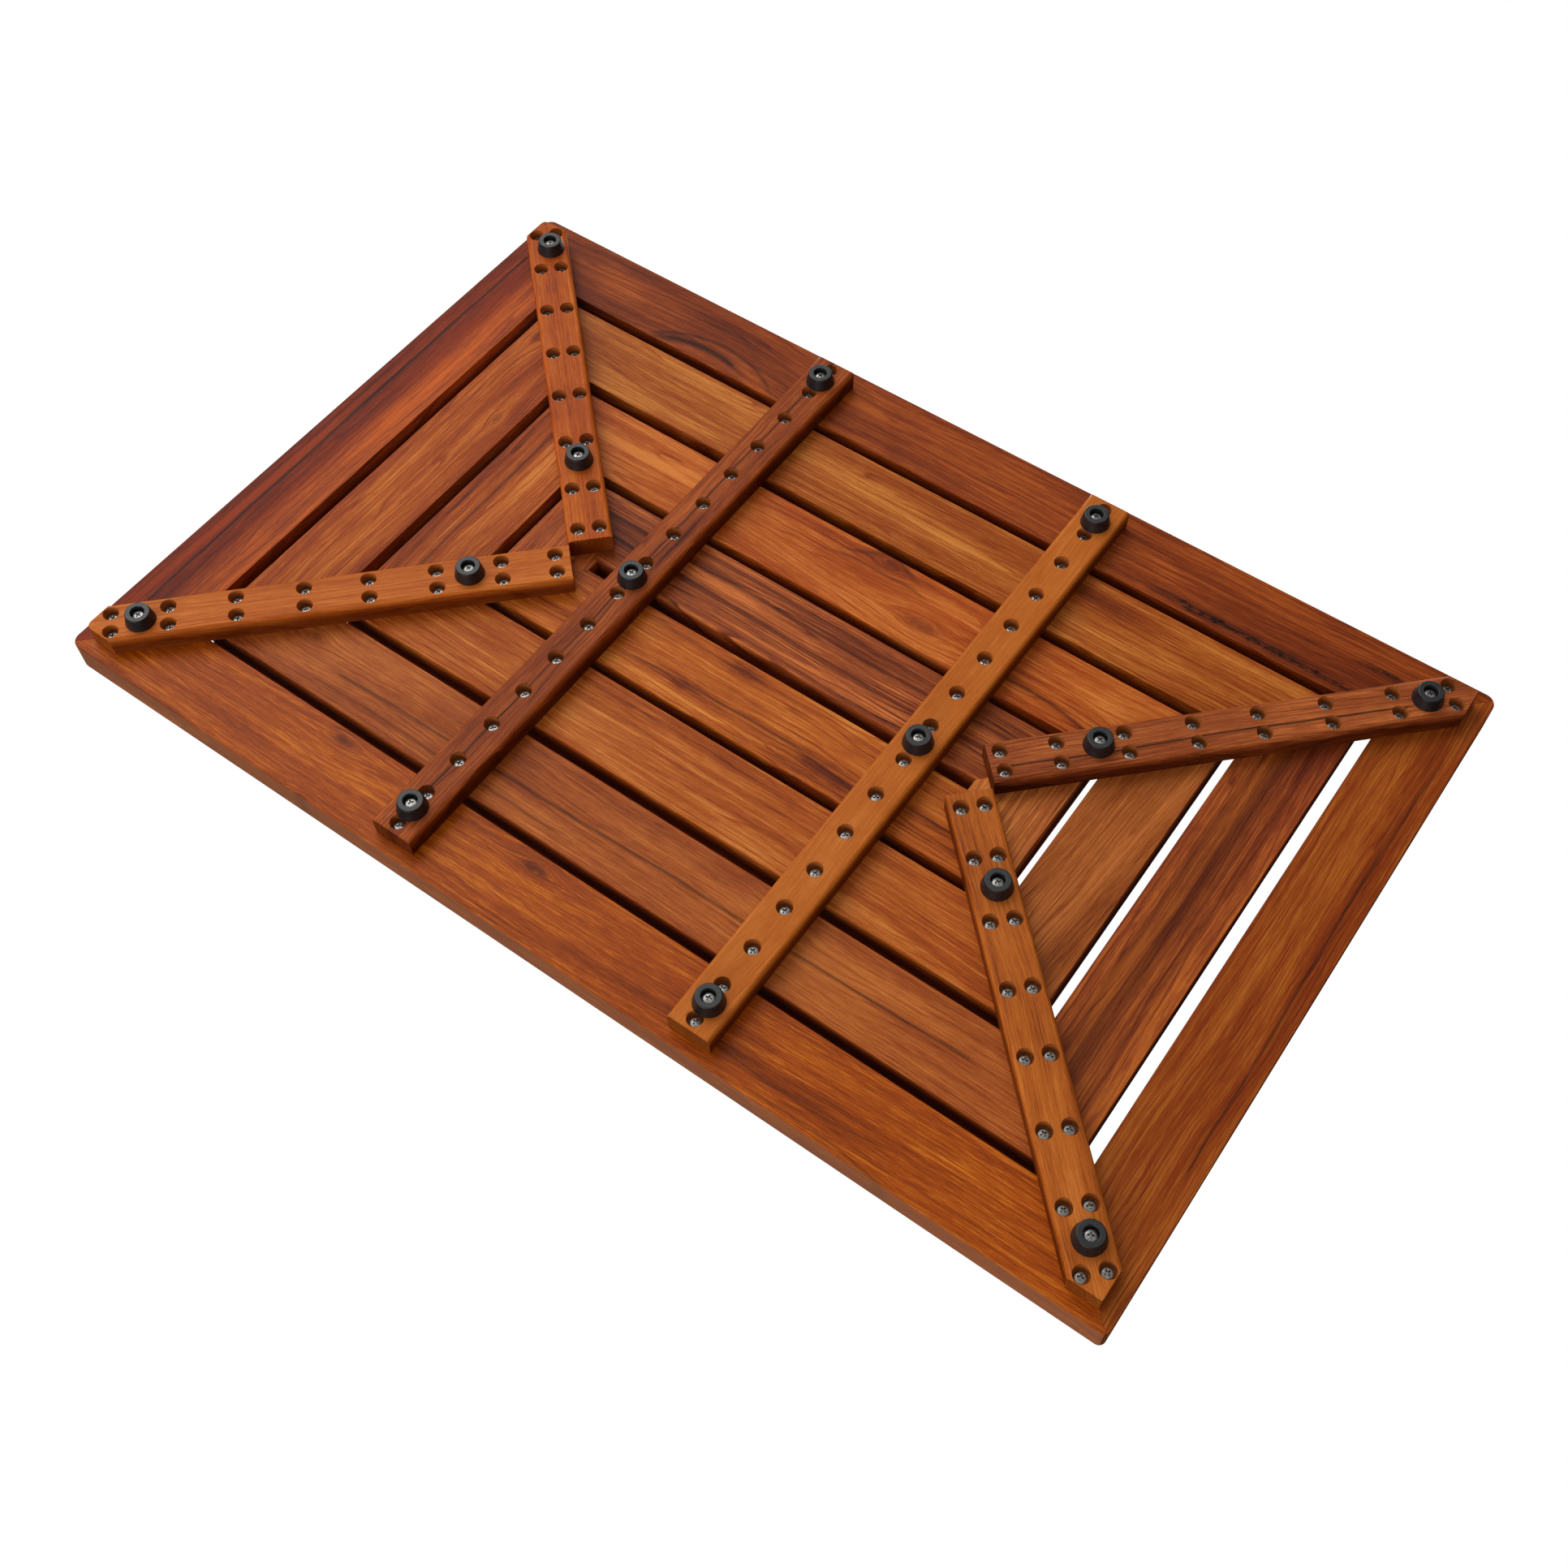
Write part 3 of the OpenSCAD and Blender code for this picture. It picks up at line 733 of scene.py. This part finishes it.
LOOKS = {
    "outer_slat_back": dict(
        seed=1, tint=(1.0, 0.8, 0.6), colours=BROWN, pith=(-150, 40, 0.02),
        knots=[(202, -34, 16, 2.4)], heart=0.0,
        minerals=[(-21, 2.0, -325, -175), (5, 1.2, -350, -318)],
        lines=[
            (-28, 0.0, 1.6, 0.6, 146, 258, 14), (-29, 0.0, 2.6, 0.9, 176, 252, 5),
            (-20, 0.0, 1.2, 0.4, 120, 200, 4),
        ],
        patches=[
            (205, 1, 60, 9, -0.4), (175, -22, 20, 6, 0.2), (-250, -21, 80, 6, -0.3),
            (-335, 4, 18, 5, -0.35), (0, 8, 120, 12, 0.15), (320, -5, 40, 10, 0.15),
        ],
    ),
    "second_slat_back": dict(
        seed=2, tint=(1.0, 0.85, 0.6), colours=TAN, pith=(-300, 20, 0.01), wander=5,
        cloud=0.4, patches=[(-155, 13, 35, 9, -0.35), (210, -22, 80, 5, 0.2), (40, 6, 60, 8, 0.12)],
    ),
    "third_slat_back": dict(
        seed=3, tint=(1.1, 0.9, 0.7), colours=ORANGE, pith=(-60, 30, 0.03),
        knots=[(-12, 22, 9, 2.0), (-230, 0, 12, 2.5), (-58, -8, 10, 2.6)],
        lines=[
            (-8, 0.03, 1.4, 0.6, -190, -125, 2), (9, 0.0, 1.2, 0.5, -45, 30, 6),
            (16, 0.0, 1.0, 0.5, -40, 20, 5),
        ],
        patches=[
            (-205, 6, 40, 16, 0.3), (180, 4, 70, 5, 0.3), (20, 10, 60, 8, -0.2), (-80, 12, 40, 8, 0.2),
        ],
    ),
    "inner_slat_back": dict(
        seed=4, tint=(1.25, 1.05, 0.8), colours=RUSSET, pith=(-200, 30, 0.01), band=1.3, growth=-0.6,
        bands=[(10, 2.5, "703c38", 0.7), (-6, 2, "703c38", 0.6), (20, 2, "804848", 0.5)],
        patches=[(150, 0, 50, 14, -0.3), (-20, -14, 60, 4, 0.3), (60, 2, 40, 4, 0.3)],
    ),
    "inner_slat_front": dict(
        seed=5, tint=(1.3, 1.35, 1.1), colours=ORANGE, pith=(160, 40, 0.02), tone=0.45,
        knots=[(170, 0, 8, 2.4)],
        lines=[(-4, 0, 1.2, 0.6, -170, -140), (-14, 0.02, 1.0, 0.5, -100, 80, 4)],
        patches=[
            (45, -12, 25, 4, -0.4), (-80, -15, 22, 4, -0.4), (10, 20, 16, 8, -0.3), (-20, 6, 60, 6, 0.2),
        ],
    ),
    "third_slat_front": dict(
        seed=6, tint=(1.1, 1.05, 0.9), colours=ORANGE, pith=(-120, 30, 0.05),
        tone=0.5, growth=-0.25, spacing=3.5,
    ),
    "second_slat_front": dict(
        seed=7, tint=(1.1, 0.95, 0.7), colours=ROSE, pith=(-140, 60, 0.03), wander=6, band=0.5,
        knots=[(268, 8, 7, 1.6)], growth=-0.2,
        lines=[(-2.5, -0.012, 1.3, 0.6, -260, 240), (-18, 0.01, 1.2, 0.35, 40, 240)],
    ),
    "outer_slat_front": dict(
        seed=8, tint=(1.05, 0.9, 0.4), colours=FLAME, pith=(70, 30, 0.05), rough=0.38,
        knots=[(195, 20, 7, 2.6), (33, 17, 7, 2.6), (190, -27, 6, 2.0)], heart=0.8,
        lines=[(-16, 0.05, 1.0, 0.4, -260, -160, 3), (-10, 0.0, 1.0, 0.4, -240, -110, -4)],
        growth=-0.15, slow=0.4, cloud=0.25, fleck=0.35, dash=1.0, tone=0.53,
        patches=[(-180, -10, 60, 5, -0.3), (280, -6, 50, 10, -0.1)],
    ),
    "outer_slat_right": dict(
        seed=9, tint=(1.25, 0.95, 0.6), colours=PLUM, pith=(220, 30, 0.01), wander=4, tone=0.69,
        zones=[(-6, 8, "b89488", 1.0)],
        lines=[(11, 0.012, 1.2, 0.9, -240, 220, 2), (21, 0.0, 0.9, 0.4, -200, 60)],
        patches=[(60, -18, 120, 7, 0.3), (-60, 17, 120, 3, 0.5)],
    ),
    "second_slat_right": dict(
        seed=10, tint=(1.0, 0.7, 0.4), colours=TAN, pith=(-90, 40, 0.02),
        knots=[(66, -11, 6, 1.8), (150, 17, 8, 2.0)], patches=[(-70, 2, 18, 4, -0.2), (0, 8, 90, 9, 0.15)],
    ),
    "third_slat_right": dict(
        seed=11, tint=(1.1, 0.85, 0.6), colours=TAN, pith=(-200, 30, 0.01), tone=0.48,
        lines=[(5, 0.0, 1.6, 0.45, -110, 120, 2)], patches=[(0, 22, 140, 4, -0.35), (20, -10, 90, 8, 0.2)],
    ),
    "inner_slat_right": dict(seed=12, tint=(1.3, 1.0, 0.6), colours=RUSSET, pith=(-100, 40, 0.01), tone=0.62),
    "outer_slat_left": dict(
        seed=13, tint=(1.1, 1.0, 0.65), colours=AMBER, pith=(180, 30, 0.01),
        lines=[(-18, 0.0, 1.0, 0.6, -150, 180, 2)],
        patches=[(-40, -18, 120, 4, -0.3), (60, 4, 120, 10, 0.15)],
    ),
    "second_slat_left": dict(
        seed=14, tint=(1.3, 1.2, 1.0), colours=WINE, pith=(-200, 30, 0.01), wander=4, tone=0.69,
        bands=[(2, 9, "6c4444", 0.75), (-14, 3, "805050", 0.5), (14, 3, "7c4c4c", 0.6)],
    ),
    "third_slat_left": dict(
        seed=15, tint=(1.25, 1.15, 1.0), colours=UMBER, pith=(-160, 30, 0.02), slope=0.08, band=0.5,
    ),
    "inner_slat_left": dict(
        seed=16, tint=(1.8, 1.85, 1.35), colours=RUSSET, pith=(-120, 30, 0.01), tone=0.66,
    ),
    "cross_batten_left": dict(
        seed=17, tint=(1.1, 0.95, 1.0), colours=HONEY, pith=(-300, 20, 0.0), slow=0.4, band=0.3,
        fibre=0.5, dash=0.4, fleck=0.08, growth=-0.12,
    ),
    "cross_batten_right": dict(
        seed=18, tint=(1.15, 0.88, 0.5), colours=RUSSET, pith=(-200, 20, 0.0), band=0.5, waver=2.5,
        lines=[(1, 0.0, 0.9, 0.8, -240, 240), (-4, 0.03, 0.8, 0.5, -120, 40, 3)],
        patches=[(40, -7, 30, 3, -0.4), (-60, 6, 40, 4, -0.3)],
    ),
    "corner_batten_front_right": dict(
        seed=19, tint=(1.1, 0.85, 0.8), colours=HONEY, pith=(-200, 20, 0.0), fibre=1.0, growth=-0.3,
    ),
    "corner_batten_back_right": dict(
        seed=20, tint=(1.2, 1.0, 0.6), colours=ORANGE, pith=(-200, 20, 0.0),
        band=0.4, growth=-0.1, tone=0.46,
    ),
    "corner_batten_back_left": dict(
        seed=21, tint=(1.2, 1.05, 0.9), colours=RUSSET, pith=(-200, 20, 0.0), band=0.5,
        lines=[(4, 0.0, 0.9, 0.9, 60, 330)],
    ),
    "corner_batten_front_left": dict(
        seed=22, tint=(1.15, 1.05, 1.3), colours=HONEY, pith=(-200, 20, 0.0),
        band=0.4, growth=-0.1, tone=0.37,
    ),
}


# ---- slats ---------------------------------------------------------------------------------------


def slat_outline(outer, inner, outer_half, inner_half, radii):
    """Plan of a slat along X, from its inner to its outer edge in Y, and what each edge of the outline is.

    An edge is a long edge or a mitre. radii are the roundings of the mat's corners at -X and +X, or None.
    """
    joint = MITRE_JOINT * math.sqrt(0.5)
    sign = 1 if outer > inner else -1
    outline = [(-inner_half + joint, inner), (inner_half - joint, inner)]
    kinds = ["long", "mitre"]
    for end, radius in ((1, radii[1]), (-1, radii[0])):
        if not radius:
            outline.append((end * (outer_half - joint), outer))
            kinds.append("long" if end > 0 else "mitre")
            continue
        trim = 45 - math.degrees(math.asin(MITRE_JOINT / 2 / radius))
        angles = [trim * i / CORNER_STEPS for i in range(CORNER_STEPS + 1)]
        if end > 0:
            angles.reverse()
        for i, a in enumerate(angles):
            turn = math.radians(a)
            px = end * (outer_half - radius + radius * math.sin(turn))
            py = outer - sign * radius * (1 - math.cos(turn))
            outline.append((px, py))
            kinds.append("mitre" if end < 0 and i == CORNER_STEPS else "long")
    return outline, kinds


def ring_edges(ring):
    """Distances from the mat's middle of a ring's outer and inner edge, at its long and its short slats."""
    long_low, long_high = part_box(f"{ring}_slat_back")
    short_low, short_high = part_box(f"{ring}_slat_right")
    return (long_high.y, long_low.y), (short_high.x, short_low.x)


def make_slat(node):
    """A slat with mitred ends and eased edges."""
    ring, _, side = node.split("_")
    low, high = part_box(node)
    long_edges, short_edges = ring_edges(ring)
    is_long = side in ("front", "back")
    sign = 1 if side in ("back", "right") else -1
    own, crossing = (long_edges, short_edges) if is_long else (short_edges, long_edges)
    ends = (f"{side}_left", f"{side}_right") if is_long else (f"front_{side}", f"back_{side}")
    radii = [CORNER_RADIUS[e] if ring == "outer" else None for e in ends]
    outline, kinds = slat_outline(sign * own[0], sign * own[1], crossing[0], crossing[1], radii)
    if not is_long:
        outline = [(b, a) for a, b in outline]
    share = {"long": 1.0, "mitre": MITRE_EDGE / SLAT_EDGE}

    def weight_of(where, i):
        if where != "upright":
            return share[kinds[i]]
        at_mitre = "mitre" in (kinds[i], kinds[i - 1])
        return share["mitre"] if at_mitre else 0.0

    piece = prism(node + "_wood", outline, low.z, high.z, weight_of)
    bevel(piece, SLAT_EDGE)
    centre = (low + high) / 2
    along = Vector((1, 0, 0)) if is_long else Vector((0, 1, 0))

    def to_grain(p):
        x, y, z = p.x / MM, p.y / MM, (p.z - centre.z) / MM
        if is_long:
            return (x, y - centre.y / MM, z)
        return (y, x - centre.x / MM, z)

    give_grain(piece, to_grain, along)
    shaded(piece)
    piece.data.materials.append(wood("teak_" + node, LOOKS[node]))
    stands_for(piece, node)


for slat_ring in ("outer", "second", "third", "inner"):
    for slat_side in ("front", "back", "left", "right"):
        make_slat(f"{slat_ring}_slat_{slat_side}")


# ---- battens -------------------------------------------------------------------------------------


def bore_cutter(places):
    """Counterbores with a slightly eased mouth, and the clearance holes through them."""
    mouth = foot_height
    below = 2 * MM
    wide = BORE_RADIUS + BORE_CHAMFER + below
    beyond = slat_low + 1 * MM
    profile = [
        (0, mouth - below),
        (wide, mouth - below),
        (wide, mouth - below + 0.01 * MM),
        (BORE_RADIUS, mouth + BORE_CHAMFER),
        (BORE_RADIUS, mouth + BORE_DEPTH),
        (CLEARANCE_RADIUS, mouth + BORE_DEPTH),
        (CLEARANCE_RADIUS, beyond),
        (0, beyond),
    ]
    return stamped(lathe(profile, BORE_SIDES), moved_to(places))


def finish_batten(piece, node, group, to_grain, along):
    """Drills the batten and gives it its wood."""
    drilled(piece, bore_cutter(batten_screws[group]))
    give_grain(piece, to_grain, along, batten_screws[group])
    shaded(piece)
    piece.data.materials.append(wood("teak_" + node, LOOKS[node]))
    stands_for(piece, node)


def batten_weights(kinds):
    """Shares of the widest bevel round a batten. kinds names each side of its plan: long, end or point."""
    share = {"low": 1.0, "high": BATTEN_SLAT_EDGE / BATTEN_FOOT_EDGE}
    end = BATTEN_END_EDGE / BATTEN_FOOT_EDGE

    def weight_of(where, i):
        meeting = {kinds[i], kinds[i - 1]}
        if where != "upright":
            return share[where] if kinds[i] == "long" else end
        if meeting == {"point"}:
            return 0.0
        return SHOULDER_EDGE / BATTEN_FOOT_EDGE if "point" in meeting else end

    return weight_of


def make_cross_batten(node, group):
    """A straight batten across the mat's width."""
    low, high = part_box(node)
    outline = [(low.x, low.y), (high.x, low.y), (high.x, high.y), (low.x, high.y)]
    piece = prism(node + "_wood", outline, low.z, high.z, batten_weights(["end", "long", "end", "long"]))
    bevel(piece, BATTEN_FOOT_EDGE, BATTEN_EDGE_STEPS)
    centre = (low + high) / 2

    def to_grain(p):
        return (p.y / MM, (p.x - centre.x) / MM, (p.z - centre.z) / MM)

    finish_batten(piece, node, group, to_grain, Vector((0, 1, 0)))


def make_corner_batten(node, group, corner):
    """A batten along the mitre: a point of two faces along the mat's edges, and a square inner end."""
    side_x, side_y = CORNERS[corner]
    low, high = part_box(node)
    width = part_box("cross_batten_left")[1].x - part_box("cross_batten_left")[0].x
    tip = Vector((high.x if side_x > 0 else low.x, high.y if side_y > 0 else low.y))
    length = (high.x - low.x) / math.sqrt(0.5) - width / 2
    along = Vector((-side_x, -side_y)).normalized()
    across = Vector((side_x, -side_y)).normalized()
    half = width / 2
    radius = POINT_RADIUS[corner]
    plan = arc((radius * math.sqrt(2), 0), radius, 135, 225, POINT_STEPS)
    kinds = ["point"] * len(plan) + ["long", "end", "long", "point"]
    plan += [(half, -half), (length, -half), (length, half), (half, half)]
    outline = [tip + along * a + across * b for a, b in plan]
    piece = prism(node + "_wood", outline, low.z, high.z, batten_weights(kinds))
    bevel(piece, BATTEN_FOOT_EDGE, BATTEN_EDGE_STEPS)
    corner_point = Vector((side_x * half_length, side_y * half_width))
    depth = (low.z + high.z) / 2

    def to_grain(p):
        from_corner = p.xy - corner_point
        return (from_corner.dot(along) / MM, from_corner.dot(across) / MM, (p.z - depth) / MM)

    finish_batten(piece, node, group, to_grain, along.to_3d())


for screw_group, batten in SCREW_GROUPS.items():
    if batten.startswith("cross"):
        make_cross_batten(batten, screw_group)
    else:
        make_corner_batten(batten, screw_group, batten.replace("corner_batten_", ""))


# ---- metal ---------------------------------------------------------------------------------------


def zinc():
    """Bright zinc, mottled and finely scratched."""
    material, tree, shader = new_material("zinc_plated_steel")
    x, y, z = object_place(tree)
    mottle = noise(x * 0.9, y * 0.9, z * 0.9, 4.0, 0.65)
    scratch = noise(x * 6.0, y * 1.1, z * 3.0, 3.0, 0.7)
    greys = [linear(c) for c in ("5c5b59", "8f8d8a", "b9b7b3")]
    colour = ramp(mottle + scratch * 0.4 + 0.5, (0.25, 0.5, 0.75), greys)
    tree.links.new(colour, shader.inputs["Base Color"])
    tree.links.new((mottle * 0.25 + scratch * 0.2 + 0.34).socket, shader.inputs["Roughness"])
    shader.inputs["Metallic"].default_value = 1.0
    give_bump(shader, scratch + mottle, 0.3, 0.05 * MM)
    return material


def recess_arm(turn):
    """A cutter for one arm of the cross recess, narrower and shorter at its floor, turned by degrees."""
    arm = bmesh.new()
    rings = []
    for a, b, height in (RECESS_MOUTH, RECESS_FLOOR):
        rings.append([arm.verts.new((x, y, height)) for x, y in ((-a, -b), (a, -b), (a, b), (-a, b))])
    mouth, floor = rings
    arm.faces.new(mouth)
    arm.faces.new(list(reversed(floor)))
    for i in range(4):
        j = (i + 1) % 4
        arm.faces.new((mouth[i], floor[i], floor[j], mouth[j]))
    bmesh.ops.recalc_face_normals(arm, faces=arm.faces)
    turned = Matrix.Rotation(math.radians(turn), 3, "Z")
    bmesh.ops.rotate(arm, verts=arm.verts, cent=(0, 0, 0), matrix=turned)
    return arm


def screw_form(length):
    """A cross recessed pan head screw, its head's top at z = 0 and its shank running up."""
    steps = 8
    angles = [math.radians(90 * i / steps) for i in range(steps + 1)]
    dome = [(HEAD_RADIUS * math.sin(a), HEAD_DOME * (1 - math.cos(a))) for a in angles]
    profile = dome + [
        (HEAD_RADIUS, HEAD_HEIGHT - HEAD_RIM),
        (HEAD_RADIUS - HEAD_RIM, HEAD_HEIGHT),
        (SHANK_RADIUS, HEAD_HEIGHT),
        (SHANK_RADIUS, HEAD_HEIGHT + length - TIP_LENGTH),
        (TIP_RADIUS, HEAD_HEIGHT + length),
        (0, HEAD_HEIGHT + length),
    ]
    piece = new_object("screw_form", lathe(profile, SCREW_SIDES))
    for turn in (0, 90):
        drilled(piece, recess_arm(turn))
    form = bmesh.new()
    form.from_mesh(piece.data)
    bpy.data.objects.remove(piece)
    return form


def make_screws(node, places, metal):
    """A group of screws, each turned its own way."""
    low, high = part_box(node)
    form = screw_form(high.z - low.z - HEAD_HEIGHT)
    at = []
    for p in places:
        turn = Matrix.Rotation(rng.uniform(0, math.pi / 2), 4, "Z")
        lean = Matrix.Rotation(math.radians(rng.uniform(-SCREW_LEAN, SCREW_LEAN)), 4, "X")
        at.append(Matrix.Translation((p.x, p.y, low.z)) @ turn @ lean)
    piece = new_object(node + "_zinc", stamped(form, at))
    form.free()
    shaded(piece, METAL_CREASE)
    piece.data.materials.append(metal)
    stands_for(piece, node)


def make_washers(node, places, metal):
    low, high = (v.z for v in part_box(node))
    profile = [
        (SHANK_RADIUS + WASHER_EDGE, low),
        (WASHER_RADIUS - WASHER_EDGE, low),
        (WASHER_RADIUS, low + WASHER_EDGE),
        (WASHER_RADIUS, high - WASHER_EDGE),
        (WASHER_RADIUS - WASHER_EDGE, high),
        (SHANK_RADIUS + WASHER_EDGE, high),
    ]
    piece = new_object(node + "_zinc", stamped(lathe(profile, WASHER_SIDES), moved_to(places)))
    shaded(piece, METAL_CREASE)
    piece.data.materials.append(metal)
    stands_for(piece, node)


def make_metal():
    metal = zinc()
    for group in SCREW_GROUPS:
        make_screws(group, batten_screws[group], metal)
    feet_at = [middle(n).xy for n in foot_nodes]
    make_screws("foot_screws", feet_at, metal)
    make_washers("foot_washers", feet_at, metal)


make_metal()


# ---- rubber feet ---------------------------------------------------------------------------------


def rubber():
    """Black rubber with a fine skin and a little grime."""
    material, tree, shader = new_material("black_rubber")
    x, y, z = object_place(tree)
    grime = noise(x * 0.35, y * 0.35, z * 0.35, 4.0, 0.6)
    skin = noise(x * 4.0, y * 4.0, z * 4.0, 3.0, 0.6)
    blacks = [linear(c) for c in ("0a0b0e", "131418", "212329")]
    colour = ramp(grime * 1.2 + skin * 0.4 + 0.5, (0.2, 0.55, 0.85), blacks)
    tree.links.new(colour, shader.inputs["Base Color"])
    tree.links.new((grime * 0.2 + skin * 0.15 + 0.44).socket, shader.inputs["Roughness"])
    shader.inputs["Specular IOR Level"].default_value = 0.5
    give_bump(shader, skin + grime * 0.5, 0.35, 0.06 * MM)
    return material


def foot_form(base_radius, face_radius):
    """A tapered bumper: rounded rim, flat resting ring, recess and a thin flare where it meets the batten."""
    outer = arc((face_radius - FOOT_RIM, FOOT_RIM), FOOT_RIM, -90, -8, 8)
    taper = base_radius - face_radius
    rise = foot_height - FOOT_RIM - FOOT_FLARE
    side = [(face_radius + taper * t, FOOT_RIM + rise * t) for t in (0.25, 0.5, 0.75, 0.97)]
    hole = SHANK_RADIUS + FOOT_HOLE_PLAY
    inside = [
        (base_radius, foot_height - FOOT_FLARE),
        (base_radius, foot_height),
        (hole, foot_height),
        (hole, FOOT_RECESS_DEPTH),
        (FOOT_RECESS_RADIUS - FOOT_RECESS_EDGE, FOOT_RECESS_DEPTH),
        (FOOT_RECESS_RADIUS, FOOT_RECESS_DEPTH - FOOT_RECESS_EDGE),
    ]
    mouth = arc((FOOT_RECESS_RADIUS + FOOT_RECESS_LIP, FOOT_RECESS_LIP), FOOT_RECESS_LIP, 180, 270, 6)
    return lathe(outer + side + inside + mouth, FOOT_SIDES)


def make_foot(node, material):
    low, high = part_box(node)
    base_radius = (high.x - low.x) / 2
    form = foot_form(base_radius, base_radius - FOOT_TAPER)
    foot = new_object(node + "_rubber", stamped(form, moved_to([middle(node)])))
    form.free()
    shaded(foot, RUBBER_CREASE)
    foot.data.materials.append(material)
    stands_for(foot, node)


def make_feet():
    material = rubber()
    for node in foot_nodes:
        make_foot(node, material)


make_feet()


# ---- floor, light and camera ---------------------------------------------------------------------

FLOOR_SIZE = 40
FLOOR_GREY = (0.34, 0.34, 0.33, 1)
FLOOR_GLOW = (1, 0.99, 0.97, 1)
FLOOR_GLOW_STRENGTH = 0.5

# The light that the mat gets from all round: a broad glow from below, right and front, and a dim rest.
SKY_TINT = (1, 0.985, 0.97, 1)
SKY_BELOW = 0.62
SKY_ABOVE = 0.015

# Area lights: place, width, height, watts and colour. All point at the middle of the mat.
LIGHT_AIM = Vector((0, 0, 0.02))
LIGHTS = {
    "key_below": ((2.9, 1.2, -3.4), 3.6, 3.6, 125, (1, 0.98, 0.96)),
    "key_above": ((1.7, 1.9, 1.6), 1.6, 1.6, 65, (1, 0.98, 0.95)),
    "fill_front": ((-0.4, -3.2, -0.8), 2.2, 1.4, 38, (1, 0.96, 0.96)),
    "fill_above": ((0.4, 2.2, 1.1), 1.6, 1.6, 14, (0.97, 0.98, 1)),
}

CAMERA_PLACE = Vector((-0.4201, -0.5693, -0.9631))
CAMERA_AIM = Vector((-0.0620, -0.0762, 0.0088))
CAMERA_ROLL = math.radians(179.375)
CAMERA_LENS = 42.04
CAMERA_SENSOR = 36


def mix_shaders(tree, share, first, second, output):
    """Puts the first shader, with the second over it by share, into the tree's output node."""
    mix = tree.nodes.new("ShaderNodeMixShader")
    tree.links.new(share, mix.inputs[0])
    tree.links.new(first.outputs[0], mix.inputs[1])
    tree.links.new(second.outputs[0], mix.inputs[2])
    tree.links.new(mix.outputs[0], tree.nodes[output].inputs["Surface"])


def pale_floor():
    """Plain grey that glows a little, and is clear from below."""
    material, tree, shader = new_material("pale_floor")
    shader.inputs["Base Color"].default_value = FLOOR_GREY
    shader.inputs["Roughness"].default_value = 0.8
    shader.inputs["Emission Color"].default_value = FLOOR_GLOW
    shader.inputs["Emission Strength"].default_value = FLOOR_GLOW_STRENGTH
    clear = tree.nodes.new("ShaderNodeBsdfTransparent")
    side = tree.nodes.new("ShaderNodeNewGeometry")
    mix_shaders(tree, side.outputs["Backfacing"], shader, clear, "Material Output")
    return material


def make_floor():
    """A pale floor under the feet. It is seen from above only, and neither shades nor lights the mat."""
    bm = bmesh.new()
    bmesh.ops.create_grid(bm, x_segments=1, y_segments=1, size=FLOOR_SIZE)
    floor = new_object("floor", bm)
    floor.visible_diffuse = False
    floor.visible_glossy = False
    floor.visible_transmission = False
    floor.visible_shadow = False
    floor.data.materials.append(pale_floor())


def make_light(name, place, width, height, watts, colour):
    lamp = bpy.data.lights.new(name, "AREA")
    lamp.shape = "RECTANGLE"
    lamp.size = width
    lamp.size_y = height
    lamp.energy = watts
    lamp.color = colour
    holder = bpy.data.objects.new(name, lamp)
    holder.location = place
    holder.rotation_mode = "QUATERNION"
    holder.rotation_quaternion = (LIGHT_AIM - Vector(place)).to_track_quat("-Z", "Y")
    holder.visible_camera = False
    bpy.context.scene.collection.objects.link(holder)


def make_world():
    """White to the eye. To the mat it is a broad soft light from below, and a dim one above."""
    world = bpy.data.worlds.new("studio")
    bpy.context.scene.world = world
    world.use_nodes = True
    tree = world.node_tree
    seen = tree.nodes["Background"]
    seen.inputs["Color"].default_value = (1, 1, 1, 1)
    seen.inputs["Strength"].default_value = 1.0
    felt = tree.nodes.new("ShaderNodeBackground")
    felt.inputs["Color"].default_value = SKY_TINT
    where = tree.nodes.new("ShaderNodeTexCoord")
    x, y, z = split_up(tree, where.outputs["Generated"])
    lean = z * -0.95 + x * 0.55 + y * -0.15
    strength = lean.step(-0.2, 1.0) * SKY_BELOW + SKY_ABOVE
    tree.links.new(strength.socket, felt.inputs["Strength"])
    path = tree.nodes.new("ShaderNodeLightPath")
    mix_shaders(tree, path.outputs["Is Camera Ray"], felt, seen, "World Output")


def make_camera():
    camera = bpy.data.cameras.new("camera")
    camera.lens = CAMERA_LENS
    camera.sensor_width = CAMERA_SENSOR
    holder = bpy.data.objects.new("camera", camera)
    holder.location = CAMERA_PLACE
    holder.rotation_mode = "QUATERNION"
    turn = Quaternion((0, 0, 1), CAMERA_ROLL)
    holder.rotation_quaternion = (CAMERA_AIM - CAMERA_PLACE).to_track_quat("-Z", "Y") @ turn
    bpy.context.scene.collection.objects.link(holder)
    bpy.context.scene.camera = holder


make_floor()
make_world()
make_camera()
for light, settings in LIGHTS.items():
    make_light(light, *settings)
bpy.context.scene.view_settings.view_transform = "Standard"
